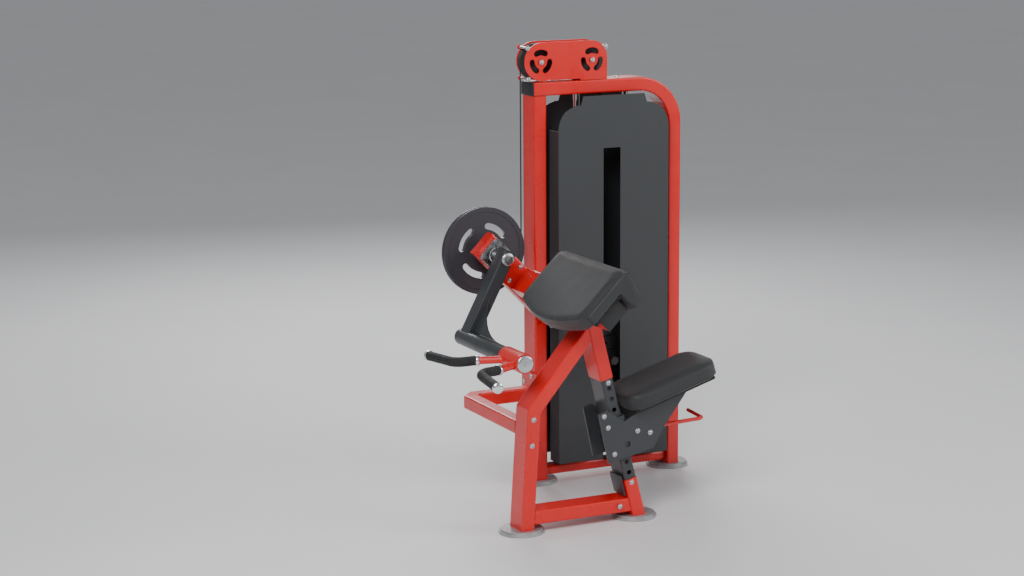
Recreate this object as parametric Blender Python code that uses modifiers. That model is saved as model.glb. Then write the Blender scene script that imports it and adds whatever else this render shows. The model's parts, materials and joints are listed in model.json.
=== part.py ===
"""Selectorised preacher curl machine, in metres, +Z up.

The machine is laid out from one corner: X runs across the weight tower, Y runs from the user's
station (negative) back through the tower, and the tower's front left corner stands at (0, 0).
An empty then moves that corner so that the footprint is centred on the world origin.
"""
import math

import bmesh
import bpy
from mathutils import Matrix, Vector

# Where the tower's front left corner stands, seen from the middle of the footprint
CORNER_X = -0.05655
CORNER_Y = 0.3364

# Steel tube stock and clearances
TUBE_W = 0.050
TUBE_D = 0.100
WALL = 0.003
CORNER_R = 0.006
GAP = 0.0003

# Weight tower
TOWER_W = 0.608
TOWER_H = 1.500
BEND_R = 0.147
MID_Y = 0.050
FOOT_R = 0.080
FOOT_T = 0.016
BASE_LOW, BASE_TOP = 0.027, 0.061

# Shrouds
SHEET = 0.003
SHROUD_LEFT, SHROUD_RIGHT = 0.076, 0.532
SHROUD_LOW = 0.080
SHROUD_SHOULDER = 1.414
SHROUD_TOP = 1.446
SHROUD_CORNER = 0.092
SHROUD_OUT = 0.043
SLOT_W = 0.070
SLOT_TOP = 1.252

# Cable, pulleys and cam
CABLE_R = 0.0025
PULLEY_R = 0.060
PULLEY_RIM = 0.066
PULLEY_Z = 1.573
PULLEY_LEFT = 0.028
PULLEY_RIGHT = 0.235
AXLE_R = 0.006
CAM_R = 0.1528
CAM_RIM = 0.1605
CAM_T = 0.022
ANCHOR_DEG = 235.0

# Weight stack
STACK_X = PULLEY_RIGHT + PULLEY_R
PLATE_W, PLATE_D = 0.270, 0.090
PLATES = 9
PLATES_LIFTED = 3
PLATE_PITCH = 0.0541
STACK_LOW = 0.105
HEAD_T = 0.030
GUIDE_SPREAD = 0.100
GUIDE_R = 0.0125
ROD_R = 0.010
PIN_R = 0.004

# Exercise arm: it turns on a shaft carried by the boom
SHAFT_X = PULLEY_LEFT - PULLEY_R - CAM_R
SHAFT_Z = 0.893
SHAFT_R = 0.0125
BOOM_HEAD = 0.059
BOOM_TAIL = 0.344
ARM_DEG = 242.4
ARM_W, ARM_D = 0.050, 0.062
ARM_NEAR = -0.158
ARM_LENGTH = 0.316
CROSS_R = 0.030
CROSS_FAR, CROSS_NEAR = -0.080, -0.600
STATION_Y = -0.529

# Station frame: its right leg leans back and carries the seat
LEAN = math.radians(14.3)
LEG_FOOT_X = 0.126
LEG_FOOT_Z = 0.012
RAIL_LOW, RAIL_TOP = 0.153, 0.521
RAIL_W, RAIL_D = 0.046, 0.096
HOLE_PITCH = 0.040
HOLES = 9

# Upholstery
PAD_TOP = 0.0636
PAD_UNDER = 0.123
PAD_HALF = 0.250
PAD_BULGE = 0.055
SEAT_TILT = math.radians(16.9)
SEAT_FRONT_X, SEAT_FRONT_Z = 0.053, 0.458
SEAT_L, SEAT_W, SEAT_T = 0.368, 0.226, 0.062
BOARD_T = 0.011

# Seat adjustment
LEVER_X, LEVER_Z = 0.160, 0.316

# Colours as linear RGB
RED = (0.72, 0.028, 0.022)
CHARCOAL = (0.048, 0.052, 0.058)
VINYL = (0.040, 0.043, 0.047)
STEEL = (0.55, 0.56, 0.57)
CHROME = (0.80, 0.81, 0.82)
RUBBER = (0.020, 0.020, 0.021)
PLATE_GREY = (0.030, 0.031, 0.034)

X_AXIS = Vector((1, 0, 0))
Y_AXIS = Vector((0, 1, 0))
Z_AXIS = Vector((0, 0, 1))


# ---------------------------------------------------------------- scene helpers

def new_collection(name):
    collection = bpy.data.collections.new(name)
    bpy.context.scene.collection.children.link(collection)
    return collection


def new_group(name, x=0.0, y=0.0, z=0.0, parent=None):
    """An empty that carries a rigid group; it stands on that group's joint axis."""
    empty = bpy.data.objects.new(name, None)
    empty.location = (x, y, z)
    empty.empty_display_size = 0.05
    PARTS.objects.link(empty)
    if parent:
        empty.parent = parent
    return empty


def attach(obj, group):
    """Parent obj to a group while its own coordinates stay those of the whole machine."""
    obj.parent = group
    if group is not MACHINE:
        obj.matrix_parent_inverse = Matrix.Translation(group.location).inverted()


def finish(obj, group, colour, roughness=0.4, metallic=0.0, smooth_deg=35):
    """Give a mesh object its material, shading and parent."""
    finish_of = bpy.data.materials.new(obj.name + "_finish")
    finish_of.use_nodes = True
    shader = finish_of.node_tree.nodes["Principled BSDF"]
    shader.inputs["Base Color"].default_value = (*colour, 1.0)
    shader.inputs["Roughness"].default_value = roughness
    shader.inputs["Metallic"].default_value = metallic
    obj.data.materials.clear()
    obj.data.materials.append(finish_of)
    obj.data.shade_smooth()
    obj.data.set_sharp_from_angle(angle=math.radians(smooth_deg))
    PARTS.objects.link(obj)
    attach(obj, group)
    return obj


def as_cutter(obj):
    CUTTERS.objects.link(obj)
    obj.display_type = "WIRE"
    obj.hide_render = True
    attach(obj, MACHINE)
    return obj


def combine(obj, other, operation):
    boolean = obj.modifiers.new(operation.lower(), "BOOLEAN")
    boolean.operation = operation
    boolean.solver = "EXACT"
    boolean.object = other
    return obj


def cut(obj, *cutters):
    for cutter in cutters:
        combine(obj, as_cutter(cutter), "DIFFERENCE")
    return obj


def join(obj, *others):
    for other in others:
        combine(obj, as_cutter(other), "UNION")
    return obj


def frame_matrix(origin, e1, e2):
    """Matrix whose local X and Y run along e1 and e2 at origin."""
    e3 = e1.cross(e2)
    columns = Matrix((e1, e2, e3)).transposed().to_4x4()
    return Matrix.Translation(origin) @ columns


def upright(y):
    """Drawing plane whose axes are X and Z, at depth y."""
    return frame_matrix(Vector((0, y, 0)), X_AXIS, Z_AXIS)


def level(z):
    """Drawing plane whose axes are X and Y, at height z."""
    return frame_matrix(Vector((0, 0, z)), X_AXIS, Y_AXIS)


# ---------------------------------------------------------------- shape helpers

def arc(cx, cy, radius, start, end, steps):
    """Points along an arc, angles in degrees."""
    angles = (math.radians(start + (end - start) * i / steps) for i in range(steps + 1))
    return [(cx + radius * math.cos(a), cy + radius * math.sin(a)) for a in angles]


def rounded_rect(width, height, radius, steps=2):
    half_w = width / 2 - radius
    half_h = height / 2 - radius
    corners = ((half_w, half_h, 0), (-half_w, half_h, 90), (-half_w, -half_h, 180), (half_w, -half_h, 270))
    points = []
    for cx, cy, start in corners:
        points += arc(cx, cy, radius, start, start + 90, steps)
    return points


def loft(name, rings, matrix, caps=(True, True)):
    """Skin through rings of equal length; caps close the first and the last ring."""
    bm = bmesh.new()
    loops = [[bm.verts.new(point) for point in ring] for ring in rings]
    for low, high in zip(loops, loops[1:]):
        for i in range(len(low)):
            j = (i + 1) % len(low)
            bm.faces.new((low[i], low[j], high[j], high[i]))
    if caps[0]:
        bm.faces.new(loops[0])
    if caps[1]:
        bm.faces.new(loops[-1])
    bmesh.ops.recalc_face_normals(bm, faces=bm.faces)
    mesh = bpy.data.meshes.new(name)
    bm.to_mesh(mesh)
    bm.free()
    obj = bpy.data.objects.new(name, mesh)
    obj.matrix_world = matrix
    return obj


def tube(name, path, matrix, width=TUBE_W, depth=TUBE_D, wall=WALL, radius=CORNER_R, caps=(False, False)):
    """Rectangular tube along a flat path: width lies in the path's plane and depth across it."""
    points = [Vector(point) for point in path]
    section = rounded_rect(width, depth, radius)
    rings = []
    for i, point in enumerate(points):
        before = (point - points[i - 1]).normalized() if i else None
        after = (points[i + 1] - point).normalized() if i + 1 < len(points) else None
        along = ((before or after) + (after or before)).normalized()
        stretch = 1.0 / along.dot(before or after)
        side = Vector((-along.y, along.x)) * stretch
        rings.append([(point.x + side.x * u, point.y + side.y * u, v) for u, v in section])
    obj = loft(name, rings, matrix, caps)
    if wall:
        shell = obj.modifiers.new("wall", "SOLIDIFY")
        shell.thickness = wall
        shell.offset = -1.0
        shell.use_even_offset = True
    return obj


def box(name, low, high, bevel=0.0, matrix=None):
    """Box between two corners, with an optional rounded edge."""
    bm = bmesh.new()
    bmesh.ops.create_cube(bm, size=1.0)
    size = [b - a for a, b in zip(low, high)]
    centre = [(a + b) / 2 for a, b in zip(low, high)]
    bmesh.ops.scale(bm, vec=size, verts=bm.verts)
    bmesh.ops.translate(bm, vec=centre, verts=bm.verts)
    mesh = bpy.data.meshes.new(name)
    bm.to_mesh(mesh)
    bm.free()
    obj = bpy.data.objects.new(name, mesh)
    if matrix:
        obj.matrix_world = matrix
    if bevel:
        rounding = obj.modifiers.new("edge", "BEVEL")
        rounding.width = bevel
        rounding.segments = 1
        rounding.limit_method = "ANGLE"
    return obj


def cylinder(name, radius, start, end, segments=32):
    """Cylinder between two points."""
    start, end = Vector(start), Vector(end)
    axis = end - start
    bm = bmesh.new()
    bmesh.ops.create_cone(bm, cap_ends=True, segments=segments, radius1=radius, radius2=radius,
                          depth=axis.length)
    mesh = bpy.data.meshes.new(name)
    bm.to_mesh(mesh)
    bm.free()
    obj = bpy.data.objects.new(name, mesh)
    turn = Z_AXIS.rotation_difference(axis.normalized()).to_matrix().to_4x4()
    obj.matrix_world = Matrix.Translation((start + end) / 2) @ turn
    return obj


def turned(name, profile, x, y, z, axis="Y", steps=48, closed=False):
    """Turn a profile of (radius, distance) points, listed down its outer side, about an axis."""
    mesh = bpy.data.meshes.new(name)
    count = len(profile)
    edges = [(i, i + 1) for i in range(count - 1)]
    if closed:
        edges.append((count - 1, 0))
    mesh.from_pydata([(r, 0.0, h) for r, h in profile], edges, [])
    obj = bpy.data.objects.new(name, mesh)
    spin = obj.modifiers.new("turn", "SCREW")
    spin.steps = steps
    spin.render_steps = steps
    spin.use_merge_vertices = not closed
    spin.merge_threshold = 0.00001
    turn = Matrix.Rotation(math.radians(-90), 4, "X") if axis == "Y" else Matrix.Identity(4)
    obj.matrix_world = Matrix.Translation((x, y, z)) @ turn
    return obj


def mesh_of_curve(obj):
    """Replace a curve object by its mesh, with its caps welded on."""
    CUTTERS.objects.link(obj)
    view = bpy.context.evaluated_depsgraph_get()
    view.update()
    mesh = bpy.data.meshes.new_from_object(obj.evaluated_get(view))
    bm = bmesh.new()
    bm.from_mesh(mesh)
    bmesh.ops.remove_doubles(bm, verts=bm.verts, dist=0.00002)
    bmesh.ops.recalc_face_normals(bm, faces=bm.faces)
    bm.to_mesh(mesh)
    bm.free()
    name, place, data = obj.name, obj.matrix_world.copy(), obj.data
    bpy.data.objects.remove(obj)
    bpy.data.curves.remove(data)
    solid = bpy.data.objects.new(name, mesh)
    solid.matrix_world = place
    return solid


def plate(name, loops, thickness, matrix):
    """Flat plate: the first loop is its outline and the others are holes in it."""
    data = bpy.data.curves.new(name, "CURVE")
    data.dimensions = "2D"
    data.fill_mode = "BOTH"
    data.extrude = thickness / 2
    for loop in loops:
        spline = data.splines.new("POLY")
        spline.points.add(len(loop) - 1)
        spline.use_cyclic_u = True
        for point, (px, py) in zip(spline.points, loop):
            point.co = (px, py, 0.0, 1.0)
    obj = bpy.data.objects.new(name, data)
    obj.matrix_world = matrix
    return mesh_of_curve(obj)


def rod(name, points, radius, resolution=2):
    """Round bar along a list of points, with filled ends."""
    data = bpy.data.curves.new(name, "CURVE")
    data.dimensions = "3D"
    data.bevel_depth = radius
    data.bevel_resolution = resolution
    data.use_fill_caps = True
    spline = data.splines.new("POLY")
    spline.points.add(len(points) - 1)
    for point, place in zip(spline.points, points):
        point.co = (*place, 1.0)
    return mesh_of_curve(bpy.data.objects.new(name, data))


def rounded_route(corners, radii, steps=6):
    """Polyline through corners in space with each inner corner rounded to its radius."""
    points = [Vector(corner) for corner in corners]
    route = [points[0]]
    for i, radius in enumerate(radii, start=1):
        into = (points[i] - points[i - 1]).normalized()
        out = (points[i + 1] - points[i]).normalized()
        half = into.angle(out) / 2
        reach = radius * math.tan(half)
        begin = points[i] - into * reach
        centre = begin + (out - into * into.dot(out)).normalized() * radius
        spoke = begin - centre
        normal = into.cross(out).normalized()
        for k in range(steps + 1):
            turn = Matrix.Rotation(2 * half * k / steps, 3, normal)
            route.append(centre + turn @ spoke)
    route.append(points[-1])
    return route


def arc_slot(cx, cy, radius, width, middle, half_span, steps=8):
    """Outline of a slot that follows an arc, with round ends."""
    start, end = middle - half_span, middle + half_span
    tips = [(cx + radius * math.cos(math.radians(a)), cy + radius * math.sin(math.radians(a))) for a in (start, end)]
    outline = arc(cx, cy, radius + width / 2, start, end, steps)
    outline += arc(*tips[1], width / 2, end, end + 180, 4)[1:-1]
    outline += arc(cx, cy, radius - width / 2, end, start, steps)
    outline += arc(*tips[0], width / 2, start + 180, start + 360, 4)[1:-1]
    return outline


# ---------------------------------------------------------------- weight tower

def foot(name, x, y):
    """Round foot: a wide pad with a slightly smaller welded plate on top."""
    profile = [(0.0, FOOT_T), (FOOT_R - 0.006, FOOT_T), (FOOT_R - 0.006, 0.010), (FOOT_R - 0.001, 0.010),
               (FOOT_R, 0.009), (FOOT_R, 0.001), (FOOT_R - 0.001, 0.0), (0.0, 0.0)]
    finish(turned(name, profile, x, y, 0.0, axis="Z", steps=36), MACHINE, STEEL, 0.5)


def tower_frame():
    foot_top = FOOT_T + GAP
    beam_z = TOWER_H - TUBE_W / 2
    right_x = TOWER_W - TUBE_W / 2
    column = tube("left_column", [(TUBE_W / 2, foot_top), (TUBE_W / 2, TOWER_H - TUBE_W - GAP)],
                  upright(MID_Y))
    finish(column, MACHINE, RED, 0.25)

    path = [(0.0, beam_z)]
    path += arc(right_x - BEND_R, beam_z - BEND_R, BEND_R, 90, 0, 10)
    path.append((right_x, foot_top))
    bent = tube("bent_frame_tube", path, upright(MID_Y))
    cut(bent, cylinder("cable_hole", 0.010, (STACK_X, MID_Y, TOWER_H - 0.06),
                       (STACK_X, MID_Y, TOWER_H + 0.01), 20))
    finish(bent, MACHINE, RED, 0.25)

    beam_mid = (BASE_LOW + BASE_TOP) / 2
    base_path = [(TUBE_W + GAP, beam_mid), (TOWER_W - TUBE_W - GAP, beam_mid)]
    base = tube("tower_base_beam", base_path, upright(MID_Y), BASE_TOP - BASE_LOW, 0.060)
    finish(base, MACHINE, RED, 0.25)

    foot("tower_foot_left", TUBE_W / 2, MID_Y)
    foot("tower_foot_right", right_x, MID_Y)


def shroud(name, facing):
    """Sheet cover with a round-shouldered top, a tab and two folded sides; facing is -1 or 1."""
    middle = (SHROUD_LEFT + SHROUD_RIGHT) / 2
    shoulder = SHROUD_SHOULDER - SHROUD_CORNER
    y = MID_Y + facing * (MID_Y + SHROUD_OUT - SHEET / 2)
    outline = [(SHROUD_LEFT, SHROUD_LOW)]
    outline += arc(SHROUD_LEFT + SHROUD_CORNER, shoulder, SHROUD_CORNER, 180, 90, 8)
    outline += [(middle - 0.126, SHROUD_TOP), (middle + 0.126, SHROUD_TOP)]
    outline += arc(SHROUD_RIGHT - SHROUD_CORNER, shoulder, SHROUD_CORNER, 90, 0, 8)
    outline += [(SHROUD_RIGHT, SHROUD_LOW)]
    if facing < 0:
        outline += [(STACK_X + SLOT_W / 2, SHROUD_LOW), (STACK_X + SLOT_W / 2, SLOT_TOP)]
        outline += [(STACK_X - SLOT_W / 2, SLOT_TOP), (STACK_X - SLOT_W / 2, SHROUD_LOW)]
    sheet = plate(name, [outline], SHEET, upright(y))
    for label, x in (("left", SHROUD_LEFT), ("right", SHROUD_RIGHT - SHEET)):
        inner, outer = sorted((y - facing * 0.073, y))
        low, high = (x + 0.0002, inner, SHROUD_LOW + 0.001), (x + SHEET - 0.0002, outer, shoulder - 0.001)
        join(sheet, box(name + "_fold_" + label, low, high))
    finish(sheet, MACHINE, CHARCOAL, 0.45)


def pulley_cover(name, y):
    """Side plate over the two top pulleys, with three windows in front of each pulley."""
    centre_z = (TOWER_H + 0.0046 + 1.644) / 2
    radius = 1.644 - centre_z
    right = PULLEY_RIGHT + 0.062
    foot_z = TOWER_H + GAP
    outline = [(right, foot_z), (right, PULLEY_Z + radius - 0.062)]
    outline += arc(PULLEY_RIGHT, centre_z + radius - 0.062, 0.062, 12, 90, 7)
    outline += arc(0.0315, centre_z, radius, 90, 262, 16)
    outline += [(0.045, foot_z), (0.050, foot_z + 0.006), (0.185, foot_z + 0.006), (0.190, foot_z)]
    loops = [outline]
    for x in (PULLEY_LEFT, PULLEY_RIGHT):
        loops.append(arc(x, PULLEY_Z, AXLE_R + GAP, 0, 330, 11))
        loops += [arc_slot(x, PULLEY_Z, 0.035, 0.021, 90 + 120 * k, 31, 5) for k in range(3)]
    finish(plate(name, loops, SHEET, upright(y)), MACHINE, RED, 0.25)


def pulley(name, x, group):
    """Grooved wheel, with the cable lying in its groove."""
    floor = PULLEY_R - CABLE_R - GAP
    bore = AXLE_R + GAP
    profile = [(bore, 0.014), (0.017, 0.014), (0.017, 0.006), (0.050, 0.006), (0.050, 0.010),
               (PULLEY_RIM, 0.010),
               (PULLEY_RIM, 0.007), (floor, 0.0032), (floor,
                                                      -0.0032), (PULLEY_RIM, -0.007), (PULLEY_RIM, -0.010),
               (0.050, -0.010), (0.050, -0.006), (0.017, -0.006), (0.017, -0.014), (bore, -0.014)]
    finish(turned(name, profile, x, MID_Y, PULLEY_Z, steps=32, closed=True), group, RUBBER, 0.4)


def pulley_set():
    pulley_cover("pulley_cover_front", 0.0025)
    pulley_cover("pulley_cover_rear", MID_Y + 0.019)
    for side, x in (("left", PULLEY_LEFT), ("right", PULLEY_RIGHT)):
        group = new_group("pulley_" + side + "_axis", x, MID_Y, PULLEY_Z, MACHINE)
        pulley("top_pulley_" + side, x, group)
        axle = cylinder("pulley_axle_" + side, AXLE_R, (x, -0.003, PULLEY_Z), (x, MID_Y + 0.025, PULLEY_Z),
                        20)
        finish(axle, MACHINE, STEEL, 0.3, 1.0)


def cable():
    """Cable from its anchor on the cam, up and over both pulleys, and down to the stack."""
    start = math.radians(ANCHOR_DEG)
    wrap = [(SHAFT_X + CAM_R * math.cos(a), SHAFT_Z + CAM_R * math.sin(a))
            for a in (start + (2 * math.pi - start) * i / 32 for i in range(33))]
    over = arc(PULLEY_LEFT, PULLEY_Z, PULLEY_R, 180, 90, 10) + arc(PULLEY_RIGHT, PULLEY_Z, PULLEY_R, 90, 1,
                                                                   10)
    route = [(x, MID_Y, z) for x, z in wrap + over]
    finish(rod("cable_run", route, CABLE_R), MACHINE, RUBBER, 0.5)
    top, low = PULLEY_Z - GAP, STACK_LOW + PLATES * PLATE_PITCH + HEAD_T + 0.044 + GAP
    drop = rod("cable_stack_run", [(STACK_X, MID_Y, top), (STACK_X, MID_Y, low)], CABLE_R)
    finish(drop, MACHINE, RUBBER, 0.5)


def weight_plate(name, low, thickness, group, colour, roughness, pin_hole=True):
    """Stack plate with holes for both guide rods, the selector rod and the pin."""
    block = box(name, (STACK_X - PLATE_W / 2, MID_Y - PLATE_D / 2, low),
                (STACK_X + PLATE_W / 2, MID_Y + PLATE_D / 2, low + thickness), 0.003)
    for label, x, radius in (("a", -GUIDE_SPREAD, GUIDE_R + 0.001), ("b", GUIDE_SPREAD, GUIDE_R + 0.001),
                             ("rod", 0.0, ROD_R + 0.002)):
        place = (STACK_X + x, MID_Y)
        cut(block, cylinder(name + "_hole_" + label, radius, (*place, low - 0.01),
                            (*place, low + thickness + 0.01), 12))
    if pin_hole:
        height = low + thickness / 2
        hole = cylinder(name + "_pin_hole", PIN_R + 0.001, (STACK_X, -0.01, height),
                        (STACK_X, MID_Y + 0.03, height), 8)
        cut(block, hole)
    finish(block, group, colour, roughness, 0.6)


def weight_stack():
    lifted = new_group("stack_lift_axis", STACK_X, MID_Y, STACK_LOW, MACHINE)
    top = STACK_LOW + PLATES * PLATE_PITCH
    thickness = PLATE_PITCH - GAP
    for k in range(PLATES):
        low = top - (k + 1) * PLATE_PITCH
        group = lifted if k < PLATES_LIFTED else MACHINE
        weight_plate("weight_plate_%d" % (k + 1), low, thickness, group, PLATE_GREY, 0.5)
    weight_plate("head_plate", top, HEAD_T, lifted, STEEL, 0.45, pin_hole=False)
    rod_top = top + HEAD_T + 0.044
    selector = cylinder("selector_rod", ROD_R, (STACK_X, MID_Y, STACK_LOW + 0.006),
                        (STACK_X, MID_Y, rod_top), 20)
    for k in range(PLATES):
        height = top - (k + 1) * PLATE_PITCH + thickness / 2
        hole = cylinder("rod_hole_%d" % k, PIN_R + 0.001, (STACK_X, 0.02, height), (STACK_X, 0.08, height),
                        8)
        cut(selector, hole)
    finish(selector, lifted, STEEL, 0.25, 1.0)

    pin_z = top - PLATES_LIFTED * PLATE_PITCH + thickness / 2
    pin_group = new_group("selector_pin_axis", STACK_X, 0.0, pin_z, MACHINE)
    profile = [(0.0, 0.137), (PIN_R, 0.134), (PIN_R, 0.034), (0.009, 0.034), (0.009, 0.030), (0.015, 0.028),
               (0.017, 0.024), (0.017, 0.004), (0.015, 0.0), (0.0, 0.0)]
    finish(turned("selector_pin", profile, STACK_X, -0.068, pin_z, steps=24), pin_group, RUBBER, 0.5)

    for side, sign in (("left", -1), ("right", 1)):
        x = STACK_X + sign * GUIDE_SPREAD
        guide = cylinder("guide_rod_" + side, GUIDE_R, (x, MID_Y, BASE_TOP + GAP),
                         (x, MID_Y, TOWER_H - TUBE_W - GAP), 24)
        finish(guide, MACHINE, CHROME, 0.12, 1.0)
        inner = GUIDE_R + GAP
        low, high = BASE_TOP + GAP - STACK_LOW, -GAP
        ring = [(inner, high), (0.024, high), (0.028, high - 0.006), (0.028, low), (inner, low)]
        bumper = turned("stack_bumper_" + side, ring, x, MID_Y, STACK_LOW, axis="Z", steps=28, closed=True)
        finish(bumper, MACHINE, RUBBER, 0.8)


# ---------------------------------------------------------------- station frame

def leg_x(z):
    """X of the leaning leg's centreline at height z."""
    return LEG_FOOT_X - math.tan(LEAN) * (z - LEG_FOOT_Z)


def beyond(name, x, z, angle_deg, reach=0.3):
    """Cutter that removes all that lies past a line through (x, z), on its right-hand side."""
    turn = Matrix.Rotation(-math.radians(angle_deg), 4, "Y")
    matrix = Matrix.Translation((x, STATION_Y, z)) @ turn
    return box(name, (0, -reach, -2 * reach), (reach, reach, 2 * reach), matrix=matrix)


def boom_point(along, across):
    """(x, z) of a point given along the boom from the shaft, and across it to the upper right."""
    diagonal = math.sqrt(0.5)
    return SHAFT_X + diagonal * (along + across), SHAFT_Z + diagonal * (across - along)


def station_frame():
    plane = upright(STATION_Y)
    lean_deg = math.degrees(LEAN)
    left_face = leg_x(0.60) - TUBE_W / 2 / math.cos(LEAN)
    top_z = 0.790
    upper = tube("frame_upper_leg", [(leg_x(RAIL_TOP), RAIL_TOP), (leg_x(top_z), top_z)], plane)
    half = TUBE_W / 2 + GAP
    beam_space = box("pad_beam_space", (-0.3, -0.3, -TUBE_D / 2 - GAP), (half, 0.3, 0.3),
                     matrix=beam_matrix(STATION_Y))
    cut(upper, beam_space)
    finish(upper, MACHINE, RED, 0.25)

    path = [(-0.3160, -0.050), (-0.285, 0.435), (-0.2850 + 0.838 * 0.30, 0.435 + 0.30)]
    left = tube("frame_left_leg", path, plane)
    cut(left, box("left_leg_foot_trim", (-0.5, STATION_Y - 0.2, -0.2),
                  (0.0, STATION_Y + 0.2, FOOT_T + GAP)))
    cut(left, beyond("left_leg_trim", left_face - GAP, 0.60, lean_deg))
    finish(left, MACHINE, RED, 0.25)

    post = tube("frame_lower_post", [(leg_x(-0.05), -0.05), (leg_x(RAIL_LOW), RAIL_LOW)], plane)
    cut(post, box("post_trim", (-0.5, STATION_Y - 0.2, -0.2), (0.5, STATION_Y + 0.2, FOOT_T + GAP)))
    finish(post, MACHINE, RED, 0.25)

    beam_z = 0.057
    base = tube("frame_base_beam", [(-0.40, beam_z), (0.20, beam_z)], plane, depth=0.092)
    leg_tilt = math.degrees(math.atan2(-0.285 + 0.3117, 0.435 - FOOT_T))
    leg_right = -0.3117 + 0.025 + 0.0637 * (beam_z - FOOT_T)
    cut(base, beyond("base_trim_right", leg_x(beam_z) - TUBE_W / 2 / math.cos(LEAN) - GAP, beam_z,
                     lean_deg))
    cut(base, beyond("base_trim_left", leg_right + 2 * GAP, beam_z, 180 - leg_tilt))
    finish(base, MACHINE, RED, 0.25)
    foot("station_foot_left", -0.313, STATION_Y)
    foot("station_foot_right", 0.129, STATION_Y)


def seat_rail():
    """Dark tube between the upper leg and the lower post, with the seat's latch holes."""
    low, high = RAIL_LOW + 2 * GAP, RAIL_TOP - 2 * GAP
    rail = tube("seat_rail", [(leg_x(low), low), (leg_x(high), high)], upright(STATION_Y), RAIL_W, RAIL_D)
    for k in range(HOLES):
        z = RAIL_TOP - 0.034 - k * HOLE_PITCH * math.cos(LEAN)
        x = leg_x(z)
        hole = cylinder("rail_hole_%d" % k, 0.0085, (x, STATION_Y - 0.08, z), (x, STATION_Y + 0.08, z), 10)
        cut(rail, hole)
    finish(rail, MACHINE, CHARCOAL, 0.3)


def link():
    """Square tube from the station's left leg round to the tower's left column."""
    x, y, z = -0.289, -0.033, 0.364
    leg_rear = STATION_Y + TUBE_D / 2 + GAP
    path = [(x, leg_rear), (x, y - 0.030), (x + 0.030, y), (-0.006, y)]
    body = tube("link_tube", path, level(z), TUBE_W, TUBE_W)
    join(body, box("link_flange", (-0.008, y - 0.030, 0.333), (-GAP, TUBE_D, 0.425)))
    finish(body, MACHINE, RED, 0.25)


# ---------------------------------------------------------------- boom and arm pad

def boom():
    """Diagonal tube on the tower's front that carries the shaft, the arm stop and the pad beam."""
    path = [boom_point(-BOOM_HEAD, 0), boom_point(BOOM_TAIL, 0)]
    body = tube("boom", path, upright(-TUBE_W / 2 - GAP), TUBE_D, TUBE_W, caps=(True, False))
    cut(body, cylinder("shaft_hole", 0.0165, (SHAFT_X, -0.08, SHAFT_Z), (SHAFT_X, 0.03, SHAFT_Z), 24))
    cut(body, box("boom_trim", (0.069, -0.08, 0.5), (0.2, 0.03, 0.8)))
    finish(body, MACHINE, RED, 0.25)

    near = -TUBE_W - 2 * GAP
    diagonal = frame_matrix(Vector((SHAFT_X, near - 0.0075, SHAFT_Z)), (X_AXIS - Z_AXIS).normalized(),
                            (X_AXIS + Z_AXIS).normalized())
    bore = SHAFT_R + GAP
    flange = plate("bearing_front", [rounded_rect(0.095, 0.095, 0.014), arc(0, 0, bore, 0, 345, 23)],
                   0.015, diagonal)
    ring = [(bore, 0.004), (0.027, 0.004), (0.030, 0.0), (0.030, -0.014), (bore, -0.014)]
    boss = turned("bearing_boss", [(r, -h) for r, h in reversed(ring)], SHAFT_X, near - 0.015, SHAFT_Z,
                  steps=24, closed=True)
    join(flange, boss)
    finish(flange, MACHINE, STEEL, 0.3, 0.9)

    rear = [(bore, 0.022), (0.026, 0.022), (0.028, 0.013), (0.044, 0.011), (0.044, 0.0), (bore, 0.0)]
    finish(turned("bearing_rear", rear, SHAFT_X, GAP, SHAFT_Z, steps=32, closed=True), MACHINE, STEEL, 0.3,
           0.9)

    stop = [boom_point(*point) for point in ((0.0429, -0.0503), (0.085, -0.0503), (0.085, -0.0643),
                                             (0.0473, -0.0643))]
    finish(plate("arm_stop", [stop], 0.120, upright(-0.065)), MACHINE, RED, 0.3)


def beam_matrix(y):
    """Frame of the pad beam at depth y: X down through the beam, Y to the rear, Z up its wide face."""
    x, z = boom_point(PAD_UNDER + 2 * GAP + BOARD_T + TUBE_W / 2, 0.003)
    down = (X_AXIS - Z_AXIS).normalized()
    return frame_matrix(Vector((x, y, z)), down, Y_AXIS)


def pad_support():
    near, far = -0.750, -TUBE_W - 2 * GAP
    beam = tube("pad_beam", [(0, near), (0, far)], beam_matrix(0.0), caps=(True, False))
    finish(beam, MACHINE, RED, 0.25)
    across = frame_matrix(Vector((*boom_point(PAD_UNDER + GAP, 0.0), 0.0)).xzy,
                          (X_AXIS - Z_AXIS).normalized(), Y_AXIS)
    board = box("pad_board", (0.0, STATION_Y - 0.230, -0.066), (BOARD_T, STATION_Y + 0.230, 0.064), 0.001,
                across)
    finish(board, MACHINE, RUBBER, 0.8)


def arm_pad():
    """Bent pad over the beam: a long slope for the arms and a short steep flap behind its ridge."""
    ridge = 0.127
    lower = -0.0778
    stations = 14
    rings = []
    for k in range(stations + 1):
        share = 2.0 * k / stations - 1.0
        y = STATION_Y + PAD_HALF * share
        bulge = PAD_BULGE * (1.0 - share * share)
        inset = 0.012 if k in (0, stations) else 0.0
        slope = [boom_point(PAD_UNDER - inset, lower - bulge + inset),
                 boom_point(PAD_TOP + inset, lower - bulge + inset)]
        crest = [boom_point(PAD_TOP + inset, ridge), boom_point(PAD_TOP + 0.014 + inset, ridge + 0.014)]
        flap = [(0.043 - inset, 0.827 + inset), (-0.0110 + inset, 0.7955 + inset)]
        notch = [boom_point(PAD_UNDER - inset, 0.0670)]
        rings.append([(x, z, -y) for x, z in slope + crest + flap + notch])
    finish(loft("arm_pad", rings, upright(0.0)), MACHINE, VINYL, 0.6)


# ---------------------------------------------------------------- exercise arm

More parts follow.
